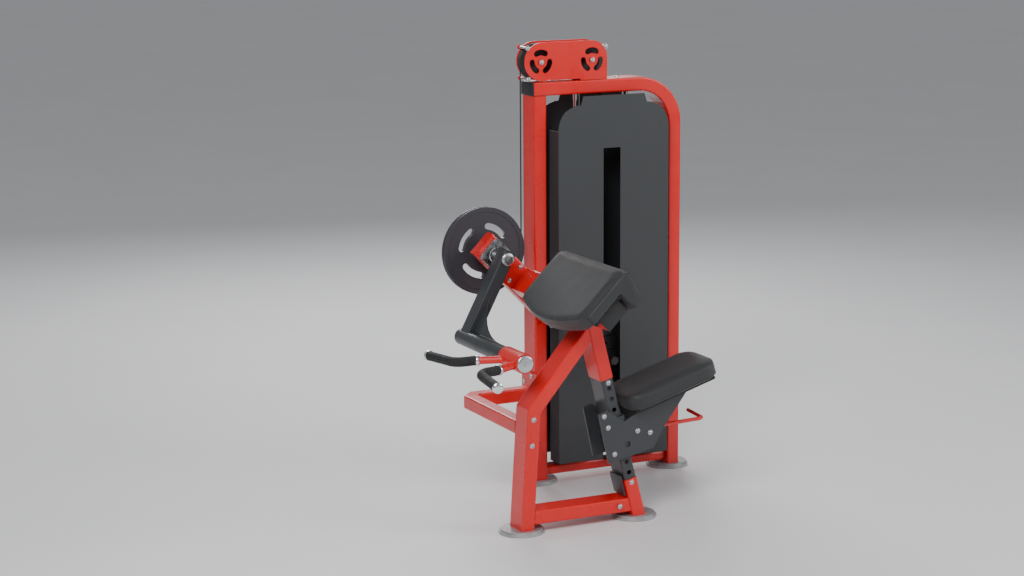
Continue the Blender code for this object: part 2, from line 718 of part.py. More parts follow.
def arm_point(reach, aside=0.0):
    """(x, z) at a distance from the shaft down the arm, and aside to its right."""
    angle = math.radians(ARM_DEG)
    return (SHAFT_X + reach * math.cos(angle) - aside * math.sin(angle),
            SHAFT_Z + reach * math.sin(angle) + aside * math.cos(angle))


def cam_disc(group):
    """Round cam: a slotted web with a grooved rim that the cable winds on."""
    floor = CAM_R - CABLE_R - GAP
    bore = SHAFT_R + GAP
    half = CAM_T / 2
    profile = [(bore, 0.017), (0.034, 0.017), (0.034, 0.009), (0.143, 0.009), (0.143, half),
               (CAM_RIM, half),
               (CAM_RIM, 0.006), (floor, 0.0032), (floor, -0.0032), (CAM_RIM, -0.006), (CAM_RIM, -half),
               (0.143, -half), (0.143, -0.009), (0.034, -0.009), (0.034, -0.017), (bore, -0.017)]
    disc = turned("cam_disc", profile, SHAFT_X, MID_Y, SHAFT_Z, steps=60, closed=True)
    for k in range(4):
        slot = plate("cam_slot_%d" % k, [arc_slot(SHAFT_X, SHAFT_Z, 0.091, 0.024, 58 + 90 * k, 23, 4)],
                     0.06, upright(MID_Y))
        cut(disc, slot)
    finish(disc, group, CHARCOAL, 0.4, 0.3)


def exercise_arm():
    group = new_group("arm_pivot_axis", SHAFT_X, MID_Y, SHAFT_Z, MACHINE)
    shaft = cylinder("pivot_shaft", SHAFT_R, (SHAFT_X, ARM_NEAR - 0.0004, SHAFT_Z),
                     (SHAFT_X, 0.078, SHAFT_Z), 32)
    finish(shaft, group, STEEL, 0.25, 1.0)
    cam_disc(group)

    cross_x, cross_z = arm_point(ARM_LENGTH)
    arm_y = ARM_NEAR + ARM_D / 2
    arm = tube("lever_arm", [arm_point(-0.030), arm_point(ARM_LENGTH)], upright(arm_y), ARM_W, ARM_D,
               caps=(True, False))
    cut(arm, cylinder("arm_bore", SHAFT_R + GAP, (SHAFT_X, -0.2, SHAFT_Z), (SHAFT_X, 0.0, SHAFT_Z), 24))
    cut(arm, cylinder("arm_saddle", CROSS_R + GAP, (cross_x, -0.2, cross_z), (cross_x, 0.0, cross_z), 40))
    finish(arm, group, CHARCOAL, 0.3)

    cross = hollow_bar("cross_tube", CROSS_R, cross_x, cross_z, CROSS_NEAR, CROSS_FAR)
    finish(cross, group, CHARCOAL, 0.3)

    foot_reach = ARM_LENGTH - CROSS_R - GAP
    span = 0.205
    rise = 0.150
    curve = [(foot_reach - rise + rise * math.sin(a), ARM_NEAR - GAP - span + span * math.cos(a))
             for a in (math.radians(90 * i / 10) for i in range(11))]
    outline = curve + [(foot_reach, ARM_NEAR - GAP)]
    down = Vector((math.cos(math.radians(ARM_DEG)), 0.0, math.sin(math.radians(ARM_DEG))))
    gusset = plate("arm_gusset", [outline], 0.006, frame_matrix(Vector((SHAFT_X, 0.0, SHAFT_Z)), down,
                                                                Y_AXIS))
    finish(gusset, group, CHARCOAL, 0.3)
    handles(cross_x, cross_z)


def hollow_bar(name, radius, x, z, near, far):
    """Round tube along Y, open at its near end and closed at its far end."""
    profile = [(0.0, far), (radius, far), (radius, near), (radius - WALL, near),
               (radius - WALL, far - WALL),
               (0.0, far - WALL)]
    return turned(name, profile, x, 0.0, z, steps=40)


def handles(cross_x, cross_z):
    """Red swivel bracket on the cross tube, and a bent grip on each of its two bars."""
    group = new_group("handle_swivel_axis", cross_x, STATION_Y, cross_z, MACHINE)
    half = 0.072
    inner, outer = CROSS_R + GAP, CROSS_R + 0.005
    ring = [(inner, half), (outer, half), (outer, -half), (inner, -half)]
    bracket = turned("handle_bracket", ring, cross_x, STATION_Y, cross_z, steps=32, closed=True)
    collar_x, collar_z = -0.434, 0.606
    for label, sign in (("near", -1), ("far", 1)):
        root = Vector((cross_x - 0.020, STATION_Y + sign * 0.045, cross_z - 0.004))
        collar = Vector((collar_x, STATION_Y + sign * 0.083, collar_z))
        bend = Vector((-0.515, STATION_Y + sign * 0.094, 0.6035))
        end = Vector((-0.533, STATION_Y + sign * 0.285, 0.594))
        bar = cylinder("handle_bar_" + label, 0.0135, root, collar, 24)
        near, far = (cross_x, STATION_Y - 0.1, cross_z), (cross_x, STATION_Y + 0.1, cross_z)
        cut(bar, cylinder("bar_saddle_" + label, inner + 0.002, near, far, 40))
        join(bracket, bar)
        along = (collar - root).normalized()
        route = rounded_route([collar + along * GAP, collar + along * 0.018, bend, end], [0.030, 0.045])
        grip = rod("grip_" + label, route, 0.017, 5)
        finish(grip, group, RUBBER, 0.75)
    finish(bracket, group, RED, 0.25)


# ---------------------------------------------------------------- seat

def seat_point(along, up):
    """(x, z) along the seat from the front of its top face, and up from that face."""
    return (SEAT_FRONT_X + along * math.cos(SEAT_TILT) - up * math.sin(SEAT_TILT),
            SEAT_FRONT_Z + along * math.sin(SEAT_TILT) + up * math.cos(SEAT_TILT))


def seat():
    """Carriage that slides on the rail: two side plates, two guide blocks, a board and a pad."""
    group = new_group("seat_slide_axis", leg_x(0.33), STATION_Y, 0.33, MACHINE)
    board_top = -SEAT_T - GAP
    board_low = board_top - BOARD_T - GAP
    matrix = frame_matrix(Vector((SEAT_FRONT_X, STATION_Y, SEAT_FRONT_Z)),
                          Vector((math.cos(SEAT_TILT), 0.0, math.sin(SEAT_TILT))), Y_AXIS)
    rings = []
    for height, inset in ((-SEAT_T, 0.010), (-SEAT_T + 0.010, 0.0), (-0.014, 0.0), (-0.004, 0.006),
                          (0.0, 0.018)):
        outline = rounded_rect(SEAT_L - 2 * inset, SEAT_W - 2 * inset, 0.055 - inset, 5)
        rings.append([(u + SEAT_L / 2, v, height) for u, v in outline])
    finish(loft("seat_pad", rings, matrix), group, VINYL, 0.6)
    board = box("seat_board", (0.020, -0.090, board_top - BOARD_T), (SEAT_L - 0.020, 0.090, board_top),
                0.001, matrix)
    finish(board, group, RUBBER, 0.8)

    outline = [(-0.044, 0.402), (-0.010, 0.413), (0.058, 0.367), (0.092, 0.385),
               seat_point(0.066, board_low),
               seat_point(0.252, board_low), (0.218, 0.333), (0.174,
                                                              0.258), (0.110, 0.244), (-0.005, 0.222)]
    hole = arc(0.0715, 0.283, 0.0105, 345, 0, 15)
    pivot = arc(LEVER_X, LEVER_Z, AXLE_R, 345, 0, 15)
    gap_half = 0.056
    for label, sign in (("near", -1), ("far", 1)):
        y = STATION_Y + sign * (gap_half + 0.003)
        finish(plate("seat_plate_" + label, [outline, hole, pivot], 0.006, upright(y)), group, CHARCOAL,
               0.35)

    wall = gap_half - GAP - RAIL_D / 2 - 0.001
    sleeve = tube("seat_sleeve", [(leg_x(z), z) for z in (0.262, 0.382)], upright(STATION_Y),
                  RAIL_W + 0.002 + 2 * wall, 2 * (gap_half - GAP), wall)
    finish(sleeve, group, CHARCOAL, 0.4)


def seat_lever():
    """Red rod that unlatches the seat when its rear end is lifted."""
    group = new_group("seat_lever_axis", LEVER_X, STATION_Y, LEVER_Z, MACHINE)
    corners = [(LEVER_X - 0.030, STATION_Y, LEVER_Z), (0.409, STATION_Y, 0.327),
               (0.409, STATION_Y + 0.110, 0.333)]
    lever = rod("seat_lever", rounded_route(corners, [0.016]), 0.007, 3)
    join(lever, cylinder("lever_boss", 0.012, (LEVER_X, STATION_Y - 0.0555, LEVER_Z),
                         (LEVER_X, STATION_Y + 0.0555, LEVER_Z), 24))
    finish(lever, group, RED, 0.25)


# ---------------------------------------------------------------- assembly

for existing in list(bpy.data.objects):
    bpy.data.objects.remove(existing)
PARTS = new_collection("preacher_curl_machine")
CUTTERS = new_collection("cutters")
MACHINE = new_group("machine", CORNER_X, CORNER_Y, 0.0)

tower_frame()
shroud("front_shroud", -1)
shroud("rear_shroud", 1)
pulley_set()
cable()
weight_stack()
station_frame()
seat_rail()
link()
boom()
pad_support()
arm_pad()
exercise_arm()
seat()
seat_lever()
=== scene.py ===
"""Looks for the preacher curl machine: materials, upholstery, fasteners, lights and camera."""
import json
import math

import bmesh
import bpy
import numpy as np
from mathutils import Matrix, Vector
from mathutils.bvhtree import BVHTree


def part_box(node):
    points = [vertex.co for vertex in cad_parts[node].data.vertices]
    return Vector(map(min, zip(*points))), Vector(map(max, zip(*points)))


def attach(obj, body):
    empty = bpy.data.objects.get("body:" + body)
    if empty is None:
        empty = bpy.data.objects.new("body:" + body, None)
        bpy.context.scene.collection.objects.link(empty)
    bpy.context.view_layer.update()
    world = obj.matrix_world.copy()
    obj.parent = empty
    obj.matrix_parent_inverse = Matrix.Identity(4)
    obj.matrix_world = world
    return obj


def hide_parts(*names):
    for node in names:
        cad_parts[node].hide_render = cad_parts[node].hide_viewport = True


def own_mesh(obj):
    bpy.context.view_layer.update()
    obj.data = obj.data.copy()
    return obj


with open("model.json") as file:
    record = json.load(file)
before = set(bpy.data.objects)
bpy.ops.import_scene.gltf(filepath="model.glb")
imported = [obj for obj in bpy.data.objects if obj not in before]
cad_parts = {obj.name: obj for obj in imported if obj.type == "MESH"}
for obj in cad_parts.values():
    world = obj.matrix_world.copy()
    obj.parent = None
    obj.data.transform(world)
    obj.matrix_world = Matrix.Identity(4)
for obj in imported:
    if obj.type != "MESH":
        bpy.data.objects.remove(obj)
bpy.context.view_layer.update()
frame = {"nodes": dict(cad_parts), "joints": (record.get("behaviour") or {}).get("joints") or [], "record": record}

NODES = frame["nodes"]
JOINTS = {joint["name"]: joint for joint in frame["joints"]}
X_AXIS, Y_AXIS, Z_AXIS = Vector((1, 0, 0)), Vector((0, 1, 0)), Vector((0, 0, 1))

# The tower's front left corner on the floor; places below are given from it
COLUMN_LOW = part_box("left_column")[0]
CORNER = Vector((COLUMN_LOW.x, COLUMN_LOW.y, 0.0))
TOWER_MID = CORNER.y + 0.050
STATION_Y = -0.529
FRAME_FACE = STATION_Y - 0.050
PLATE_FACE = STATION_Y - 0.062
SHAFT = Vector(JOINTS["arm_pivot"]["pos_m"])
CROSS = Vector(JOINTS["handle_swivel"]["pos_m"])
DOWN_BOOM = (X_AXIS - Z_AXIS).normalized()
UP_BOOM = (X_AXIS + Z_AXIS).normalized()
CAM_LINE = 0.1528  # cable centreline round the cam
CAM_ANCHOR_DEG = 235.0  # where the cable is clamped to the cam

# Faces that carry fasteners, as depths from the tower's front
BEARING_FACE = -0.0656
BOOM_FACE = -0.0506
COVER_FRONT_FACE, COVER_REAR_FACE = 0.0010, 0.0705
AXLE_FRONT_END, AXLE_REAR_END = -0.0032, 0.0752
PULLEYS = (("left", 0.028), ("right", 0.235))
PULLEY_HEIGHT = 1.573

# Leaning parts of the station
RAIL_LEAN = math.radians(14.3)
SEAT_TILT = math.radians(16.9)
SEAT_LENGTH, SEAT_HALF_WIDTH = 0.368, 0.113
PAD_VOXEL = 0.0042
CLOTH_FRAMES = 20

# Colours as linear RGB
RED = (0.66, 0.0060, 0.0040)
CHARCOAL = (0.030, 0.033, 0.037)
SHROUD = (0.030, 0.033, 0.036)
CAM_GREY = (0.036, 0.034, 0.042)
VINYL = (0.017, 0.019, 0.021)
BLACK = (0.012, 0.012, 0.013)
ZINC = (0.58, 0.59, 0.60)


def at(x, y, z):
    """World point of a place given from the tower's front left corner."""
    return CORNER + Vector((x, y, z))


# ---------------------------------------------------------------- materials

class Surface:
    """A Principled material with helpers that add its procedural detail."""

    def __init__(self, name, colour, roughness, metallic=0.0, coat=0.0, sheen=0.0):
        self.material = bpy.data.materials.new(name)
        self.material.use_nodes = True
        self.tree = self.material.node_tree
        self.shader = self.tree.nodes["Principled BSDF"]
        self.shader.inputs["Base Color"].default_value = (*colour, 1.0)
        self.shader.inputs["Roughness"].default_value = roughness
        self.shader.inputs["Metallic"].default_value = metallic
        self.shader.inputs["Coat Weight"].default_value = coat
        self.shader.inputs["Coat Roughness"].default_value = 0.08
        self.shader.inputs["Sheen Weight"].default_value = sheen
        self.place = self.add("ShaderNodeTexCoord").outputs["Object"]
        self.colour_now = None
        self.normal_now = None

    def add(self, kind, **values):
        node = self.tree.nodes.new(kind)
        for key, value in values.items():
            setattr(node, key, value)
        return node

    def link(self, output, target):
        self.tree.links.new(output, target)

    def noise(self, scale, detail=3.0, stretch=None):
        node = self.add("ShaderNodeTexNoise")
        node.inputs["Scale"].default_value = scale
        node.inputs["Detail"].default_value = detail
        source = self.place
        if stretch:
            mapping = self.add("ShaderNodeMapping")
            mapping.inputs["Scale"].default_value = stretch
            self.link(source, mapping.inputs["Vector"])
            source = mapping.outputs["Vector"]
        self.link(source, node.inputs["Vector"])
        return node.outputs["Fac"]

    def remap(self, value, low, high, from_low=0.3, from_high=0.7):
        node = self.add("ShaderNodeMapRange")
        for key, number in (("From Min", from_low), ("From Max", from_high), ("To Min", low),
                            ("To Max", high)):
            node.inputs[key].default_value = number
        self.link(value, node.inputs["Value"])
        return node.outputs["Result"]

    def mix(self, factor, first, second):
        """Mix two colours; each is a tuple or a socket."""
        node = self.add("ShaderNodeMix", data_type="RGBA")
        self.link(factor, node.inputs[0])
        for slot, colour in ((6, first), (7, second)):
            if isinstance(colour, tuple):
                node.inputs[slot].default_value = (*colour, 1.0)
            else:
                self.link(colour, node.inputs[slot])
        return node.outputs[2]

    def set_colour(self, output):
        self.colour_now = output
        self.link(output, self.shader.inputs["Base Color"])

    def mottle(self, colour, amount, scale):
        """Slow colour variation over the surface."""
        darker = tuple(c * (1 - amount) for c in colour)
        lighter = tuple(min(1.0, c * (1 + amount)) for c in colour)
        self.set_colour(self.mix(self.remap(self.noise(scale), 0.0, 1.0), darker, lighter))
        return self

    def worn_edges(self, colour, radius=0.002, strength=0.5):
        """Edges rubbed towards another colour, broken up by noise."""
        soft = self.add("ShaderNodeBevel", samples=3)
        soft.inputs["Radius"].default_value = radius
        sharp = self.add("ShaderNodeNewGeometry")
        dot = self.add("ShaderNodeVectorMath", operation="DOT_PRODUCT")
        self.link(soft.outputs["Normal"], dot.inputs[0])
        self.link(sharp.outputs["Normal"], dot.inputs[1])
        edge = self.remap(dot.outputs["Value"], strength, 0.0, 0.80, 0.97)
        broken = self.add("ShaderNodeMath", operation="MULTIPLY")
        self.link(edge, broken.inputs[0])
        self.link(self.remap(self.noise(60.0, 4.0), 0.0, 1.0, 0.42, 0.62), broken.inputs[1])
        self.set_colour(self.mix(broken.outputs[0], self.colour_now, colour))
        self.normal_now = soft.outputs["Normal"]
        return self

    def vary_roughness(self, low, high, scale, stretch=None):
        self.link(self.remap(self.noise(scale, 4.0, stretch), low, high), self.shader.inputs["Roughness"])
        return self

    def bump(self, height, distance, strength=1.0):
        node = self.add("ShaderNodeBump")
        node.inputs["Distance"].default_value = distance
        node.inputs["Strength"].default_value = strength
        self.link(height, node.inputs["Height"])
        if self.normal_now:
            self.link(self.normal_now, node.inputs["Normal"])
        self.normal_now = node.outputs["Normal"]
        self.link(self.normal_now, self.shader.inputs["Normal"])
        return self

    def grain(self, scale, distance, strength=1.0):
        """Leather-like cells."""
        cells = self.add("ShaderNodeTexVoronoi", feature="SMOOTH_F1")
        cells.inputs["Scale"].default_value = scale
        cells.inputs["Smoothness"].default_value = 0.4
        self.link(self.place, cells.inputs["Vector"])
        return self.bump(cells.outputs["Distance"], distance, strength)


def powder_coat(name, colour, roughness, worn, coat):
    surface = Surface(name, colour, roughness, coat=coat)
    surface.mottle(colour, 0.03, 7.0).worn_edges(worn, 0.0015, 0.12)
    surface.vary_roughness(roughness - 0.05, roughness + 0.09, 12.0)
    surface.bump(surface.noise(1100.0, 2.0), 0.00012, 0.35)
    return surface


def make_materials():
    found = {}
    found["red_paint"] = powder_coat("red_powder_coat", RED, 0.30, (0.80, 0.030, 0.020), 0.25)
    found["charcoal_paint"] = powder_coat("charcoal_powder_coat", CHARCOAL, 0.40, (0.16, 0.165, 0.17), 0.15)
    found["shroud_paint"] = powder_coat("shroud_powder_coat", SHROUD, 0.46, (0.15, 0.155, 0.16), 0.05)
    found["cam_paint"] = powder_coat("cam_paint", CAM_GREY, 0.42, (0.17, 0.165, 0.18), 0.1)

    stack = Surface("stack_steel", (0.022, 0.023, 0.025), 0.5, metallic=0.4)
    stack.mottle((0.022, 0.023, 0.025), 0.2, 20.0).worn_edges((0.18, 0.18, 0.18), 0.002, 0.6)
    stack.vary_roughness(0.38, 0.6, 18.0).bump(stack.noise(500.0, 3.0), 0.0002, 0.5)
    found["stack_steel"] = stack

    zinc = Surface("zinc_plate", ZINC, 0.28, metallic=1.0)
    zinc.mottle(ZINC, 0.10, 30.0).vary_roughness(0.2, 0.38, 60.0)
    zinc.bump(zinc.noise(900.0, 2.0), 0.00005, 0.4)
    found["bright_steel"] = zinc

    chrome = Surface("hard_chrome", (0.80, 0.81, 0.82), 0.1, metallic=1.0)
    chrome.mottle((0.80, 0.81, 0.82), 0.03, 9.0).vary_roughness(0.06, 0.18, 25.0, (40.0, 40.0, 1.0))
    chrome.bump(chrome.noise(400.0, 2.0, (1.0, 1.0, 0.05)), 0.00002, 0.3)
    found["chrome_rod"] = chrome

    vinyl = Surface("grained_vinyl", VINYL, 0.52, sheen=0.12)
    vinyl.mottle(VINYL, 0.05, 9.0).vary_roughness(0.50, 0.58, 16.0)
    vinyl.grain(620.0, 0.0005, 0.55).bump(vinyl.noise(35.0, 2.0), 0.0003, 0.15)
    found["vinyl"] = vinyl

    board = Surface("black_stained_plywood", (0.018, 0.017, 0.016), 0.75)
    board.mottle((0.018, 0.017, 0.016), 0.3, 14.0).vary_roughness(0.62, 0.85, 40.0)
    board.bump(board.noise(90.0, 4.0, (1.0, 9.0, 9.0)), 0.0003, 0.5)
    found["board"] = board

    rubber = Surface("moulded_rubber", BLACK, 0.62)
    rubber.mottle(BLACK, 0.25, 25.0).vary_roughness(0.5, 0.75, 40.0)
    rubber.bump(rubber.noise(700.0, 3.0), 0.0002, 0.6)
    found["black_rubber"] = rubber

    nylon = Surface("moulded_nylon", (0.016, 0.016, 0.017), 0.42)
    nylon.mottle((0.016, 0.016, 0.017), 0.15, 30.0).worn_edges((0.06, 0.06, 0.062), 0.0015, 0.5)
    nylon.vary_roughness(0.34, 0.52, 30.0).bump(nylon.noise(450.0, 2.0), 0.0001, 0.4)
    found["pulley_plastic"] = nylon

    foot = Surface("painted_foot", (0.42, 0.42, 0.43), 0.4, metallic=0.55)
    foot.mottle((0.40, 0.40, 0.41), 0.12, 22.0)
    foot.worn_edges((0.6, 0.6, 0.6), 0.0015, 0.4)
    foot.vary_roughness(0.3, 0.5, 20.0).bump(foot.noise(600.0, 2.0), 0.0001, 0.4)
    found["foot_steel"] = foot

    grip = Surface("grip_rubber", (0.010, 0.010, 0.011), 0.7)
    grip.mottle((0.010, 0.010, 0.011), 0.2, 30.0).vary_roughness(0.6, 0.82, 50.0)
    grip.grain(420.0, 0.0006, 0.8)
    found["grip"] = grip

    thread = Surface("seam_piping", (0.018, 0.020, 0.022), 0.55)
    thread.mottle((0.018, 0.020, 0.022), 0.15, 60.0).grain(1500.0, 0.0002, 0.5)
    found["piping"] = thread

    plastic = Surface("black_cap_plastic", (0.014, 0.014, 0.015), 0.5)
    plastic.mottle((0.014, 0.014, 0.015), 0.15, 30.0).bump(plastic.noise(800.0, 2.0), 0.0001, 0.5)
    found["cap_plastic"] = plastic
    return {name: surface.material for name, surface in found.items()}


MATERIALS = make_materials()
SLOTS = {entry["node"]: entry["material_slot"] for entry in frame["record"]["subparts"]}


def dress_nodes():
    """Give each carried-over node its detailed material."""
    special = {"grip_near": "grip", "grip_far": "grip"}
    for name, obj in NODES.items():
        finish = MATERIALS[special.get(name, SLOTS[name])]
        obj.data.materials.clear()
        obj.data.materials.append(finish)


# ---------------------------------------------------------------- mesh helpers

def add_piece(name, mesh, matrix, body, finish, smooth_deg=40):
    """Place a mesh in the scene, riding a body and a finish."""
    obj = bpy.data.objects.new(name, mesh)
    obj.matrix_world = matrix
    bpy.context.scene.collection.objects.link(obj)
    if not mesh.materials:
        mesh.materials.append(MATERIALS[finish])
        mesh.shade_smooth()
        mesh.set_sharp_from_angle(angle=math.radians(smooth_deg))
    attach(obj, body)
    return obj


def lathe(name, profile, steps=32):
    """Mesh of a profile of (radius, height) points turned about Z; a radius of 0 closes it."""
    bm = bmesh.new()
    rings = []
    for radius, height in profile:
        if radius == 0:
            rings.append([bm.verts.new((0, 0, height))])
            continue
        turn = (2 * math.pi * k / steps for k in range(steps))
        rings.append([bm.verts.new((radius * math.cos(a), radius * math.sin(a), height)) for a in turn])
    for first, second in zip(rings, rings[1:]):
        for k in range(steps):
            corners = [first[k % len(first)], first[(k + 1) % len(first)]]
            corners += [second[(k + 1) % len(second)], second[k % len(second)]]
            bm.faces.new(list(dict.fromkeys(corners)))
    bmesh.ops.recalc_face_normals(bm, faces=bm.faces)
    mesh = bpy.data.meshes.new(name)
    bm.to_mesh(mesh)
    bm.free()
    return mesh


def facing(point, direction):
    """Matrix that stands local Z along a direction at a point."""
    turn = Z_AXIS.rotation_difference(Vector(direction).normalized()).to_matrix().to_4x4()
    return Matrix.Translation(point) @ turn


def bolt_mesh():
    """Socket button head on a washer; local Z points out of the face."""
    profile = [(0.0, 0.0032), (0.0026, 0.0032), (0.0029, 0.0064), (0.0042, 0.0062), (0.0062, 0.0050),
               (0.0076, 0.0028), (0.0079, 0.0014), (0.0094, 0.0013), (0.0096, 0.0010), (0.0096, 0.0002),
               (0.0, 0.0002)]
    return lathe("button_head", profile, 28)


def nut_mesh():
    """Domed lock nut on a washer."""
    bm = bmesh.new()
    bmesh.ops.create_cone(bm, cap_ends=True, segments=6, radius1=0.0082, radius2=0.0082, depth=0.007)
    bmesh.ops.translate(bm, vec=(0, 0, 0.0052), verts=bm.verts)
    bmesh.ops.bevel(bm, geom=bm.edges[:], offset=0.0010, segments=2, affect="EDGES")
    mesh = bpy.data.meshes.new("lock_nut")
    bm.to_mesh(mesh)
    bm.free()
    washer = lathe("washer", [(0.0, 0.0017), (0.0102, 0.0017), (0.0105, 0.0012), (0.0105, 0.0002),
                              (0.0, 0.0002)], 28)
    bm = bmesh.new()
    bm.from_mesh(mesh)
    bm.from_mesh(washer)
    bm.to_mesh(mesh)
    bm.free()
    return mesh


BOLT = bolt_mesh()
NUT = nut_mesh()


def bolt(name, point, direction, body="frame", mesh=None):
    """Bolt head, or another fastener mesh, standing out from a face."""
    add_piece(name, mesh or BOLT, facing(point, direction), body, "bright_steel")


def tube_along(name, points, radius, closed=False, resolution=3):
    """Round tube mesh along a polyline."""
    data = bpy.data.curves.new(name, "CURVE")
    data.dimensions = "3D"
    data.bevel_depth = radius
    data.bevel_resolution = resolution
    data.use_fill_caps = True
    spline = data.splines.new("POLY")
    spline.points.add(len(points) - 1)
    spline.use_cyclic_u = closed
    for point, place in zip(spline.points, points):
        point.co = (*place, 1.0)
    holder = bpy.data.objects.new(name, data)
    bpy.context.scene.collection.objects.link(holder)
    bpy.context.view_layer.update()
    mesh = bpy.data.meshes.new_from_object(holder.evaluated_get(bpy.context.evaluated_depsgraph_get()))
    bpy.data.objects.remove(holder)
    return mesh


def block(name, low, high, bevel=0.001):
    """Box mesh with rounded edges, between two corners."""
    bm = bmesh.new()
    bmesh.ops.create_cube(bm, size=1.0)
    low, high = Vector(low), Vector(high)
    bmesh.ops.scale(bm, vec=high - low, verts=bm.verts)
    bmesh.ops.translate(bm, vec=(low + high) / 2, verts=bm.verts)
    bmesh.ops.bevel(bm, geom=bm.edges[:], offset=bevel, segments=3, affect="EDGES", profile=0.5)
    mesh = bpy.data.meshes.new(name)
    bm.to_mesh(mesh)
    bm.free()
    return mesh


# ---------------------------------------------------------------- upholstery

def refined(mesh, shrink, voxel):
    """A slightly shrunk copy of a closed mesh, remeshed evenly."""
    obj = bpy.data.objects.new("pad_work", mesh.copy())
    bpy.context.scene.collection.objects.link(obj)
    weld = obj.modifiers.new("weld", "WELD")
    weld.merge_threshold = 0.00005
    inset = obj.modifiers.new("inset", "DISPLACE")
    inset.strength = -shrink
    inset.mid_level = 0.0
    remesh = obj.modifiers.new("even", "REMESH")
    remesh.mode = "VOXEL"
    remesh.voxel_size = voxel
    smooth = obj.modifiers.new("round", "SMOOTH")
    smooth.factor = 0.5
    smooth.iterations = 2
    view = bpy.context.evaluated_depsgraph_get()
    result = bpy.data.meshes.new_from_object(obj.evaluated_get(view))
    bpy.data.objects.remove(obj)
    return result


def inflate(obj, cap):
    """Blow the cover up with a short cloth simulation.

    Points move straight out, evenly, and by at most cap.
    """
    count = len(obj.data.vertices)
    start = np.array([vertex.co for vertex in obj.data.vertices])
    outward = np.array([vertex.normal for vertex in obj.data.vertices])
    cloth = obj.modifiers.new("cover", "CLOTH")
    cloth.settings.quality = 4
    cloth.settings.mass = 0.3
    cloth.settings.tension_stiffness = 40
    cloth.settings.compression_stiffness = 40
    cloth.settings.bending_stiffness = 2.0
    cloth.settings.use_pressure = True
    cloth.settings.uniform_pressure_force = 4.0
    cloth.settings.effector_weights.gravity = 0.0
    cloth.collision_settings.use_collision = False
    scene = bpy.context.scene
    cloth.point_cache.frame_start = 1
    cloth.point_cache.frame_end = CLOTH_FRAMES
    for step in range(1, CLOTH_FRAMES + 1):
        scene.frame_set(step)
    view = bpy.context.evaluated_depsgraph_get()
    moved = np.array([vertex.co for vertex in obj.evaluated_get(view).data.vertices])
    obj.modifiers.remove(cloth)
    scene.frame_set(1)
    lift = np.clip(((moved - start) * outward).sum(axis=1), 0.0, cap)
    ends = np.array([edge.vertices[:] for edge in obj.data.edges])
    links = np.bincount(ends.ravel(), minlength=count)
    for _ in range(12):
        total = np.bincount(ends[:, 0], lift[ends[:, 1]],
                            count) + np.bincount(ends[:, 1], lift[ends[:, 0]], count)
        lift = 0.4 * lift + 0.6 * total / links
    for vertex, place in zip(obj.data.vertices, start + outward * lift[:, None]):
        vertex.co = place


def upholstered(name, node, shrink, cap, body):
    """Padded piece grown from a CAD solid: a cover blown up over foam, then calmed."""
    mesh = refined(NODES[node].data, shrink, PAD_VOXEL)
    obj = bpy.data.objects.new(name, mesh)
    bpy.context.scene.collection.objects.link(obj)
    inflate(obj, cap)
    calm = obj.modifiers.new("calm", "SMOOTH")
    calm.factor = 0.5
    calm.iterations = 1
    view = bpy.context.evaluated_depsgraph_get()
    final = bpy.data.meshes.new_from_object(obj.evaluated_get(view))
    obj.modifiers.clear()
    obj.data = final
    final.materials.clear()
    final.materials.append(MATERIALS["vinyl"])
    final.shade_smooth()
    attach(obj, body)
    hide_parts(node)
    return obj


def surface_of(obj):
    """Search tree over an object's faces."""
    bm = bmesh.new()
    bm.from_mesh(obj.data)
    tree = BVHTree.FromBMesh(bm)
    bm.free()
    return tree


def densify(points, step):
    """Closed polyline through points with no gap longer than step."""
    dense = []
    for first, second in zip(points, points[1:] + points[:1]):
        count = max(1, int((second - first).length / step))
        dense += [first.lerp(second, k / count) for k in range(count)]
    return dense


def rounded(points, radius, steps=5):
    """Closed polyline with its corners rounded."""
    result = []
    count = len(points)
    for k, corner in enumerate(points):
        into = (corner - points[k - 1]).normalized()
        out = (points[(k + 1) % count] - corner).normalized()
        reach = min(radius, (corner - points[k - 1]).length * 0.45,
                    (points[(k + 1) % count] - corner).length * 0.45)
        first, last = corner - into * reach, corner + out * reach
        for j in range(steps + 1):
            t = j / steps
            result.append(first * (1 - t) ** 2 + corner * 2 * t * (1 - t) + last * t * t)
    return result


def seam(name, pad, loop, body, radius=0.0016):
    """Piping pulled onto the pad's surface along a closed loop."""
    tree = surface_of(pad)
    points = []
    for point in densify(loop, 0.006):
        place, normal, _, _ = tree.find_nearest(point)
        points.append(place + normal * radius * 0.35)
    for _ in range(2):
        points = [(points[k - 1] + points[k] * 2 + points[(k + 1) % len(points)]) / 4
                  for k in range(len(points))]
    mesh = tube_along(name, points, radius, closed=True, resolution=2)
    add_piece(name, mesh, Matrix.Identity(4), body, "piping")


def arm_pad():
    """Sloped arm pad with a line of piping near each end."""
    pad = upholstered("arm_pad_cover", "arm_pad", 0.0012, 0.0040, "frame")
    low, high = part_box("arm_pad")
    mid = (low.y + high.y) / 2
    half = (high.y - low.y) / 2
    for label, share in (("near", -1), ("far", 1)):
        y = mid + share * (half - 0.002)
        outline = [(-0.1940, 0.7930), (-0.0470, 0.9400), (-0.0330, 0.9500), (0.0425, 0.8270),
                   (-0.0100, 0.7960),
                   (-0.0490, 0.8530), (-0.1520, 0.7500)]
        loop = [Vector((CORNER.x + x, y, z)) for x, z in outline]
        seam("arm_pad_seam_" + label, pad, rounded(loop, 0.010), "frame")


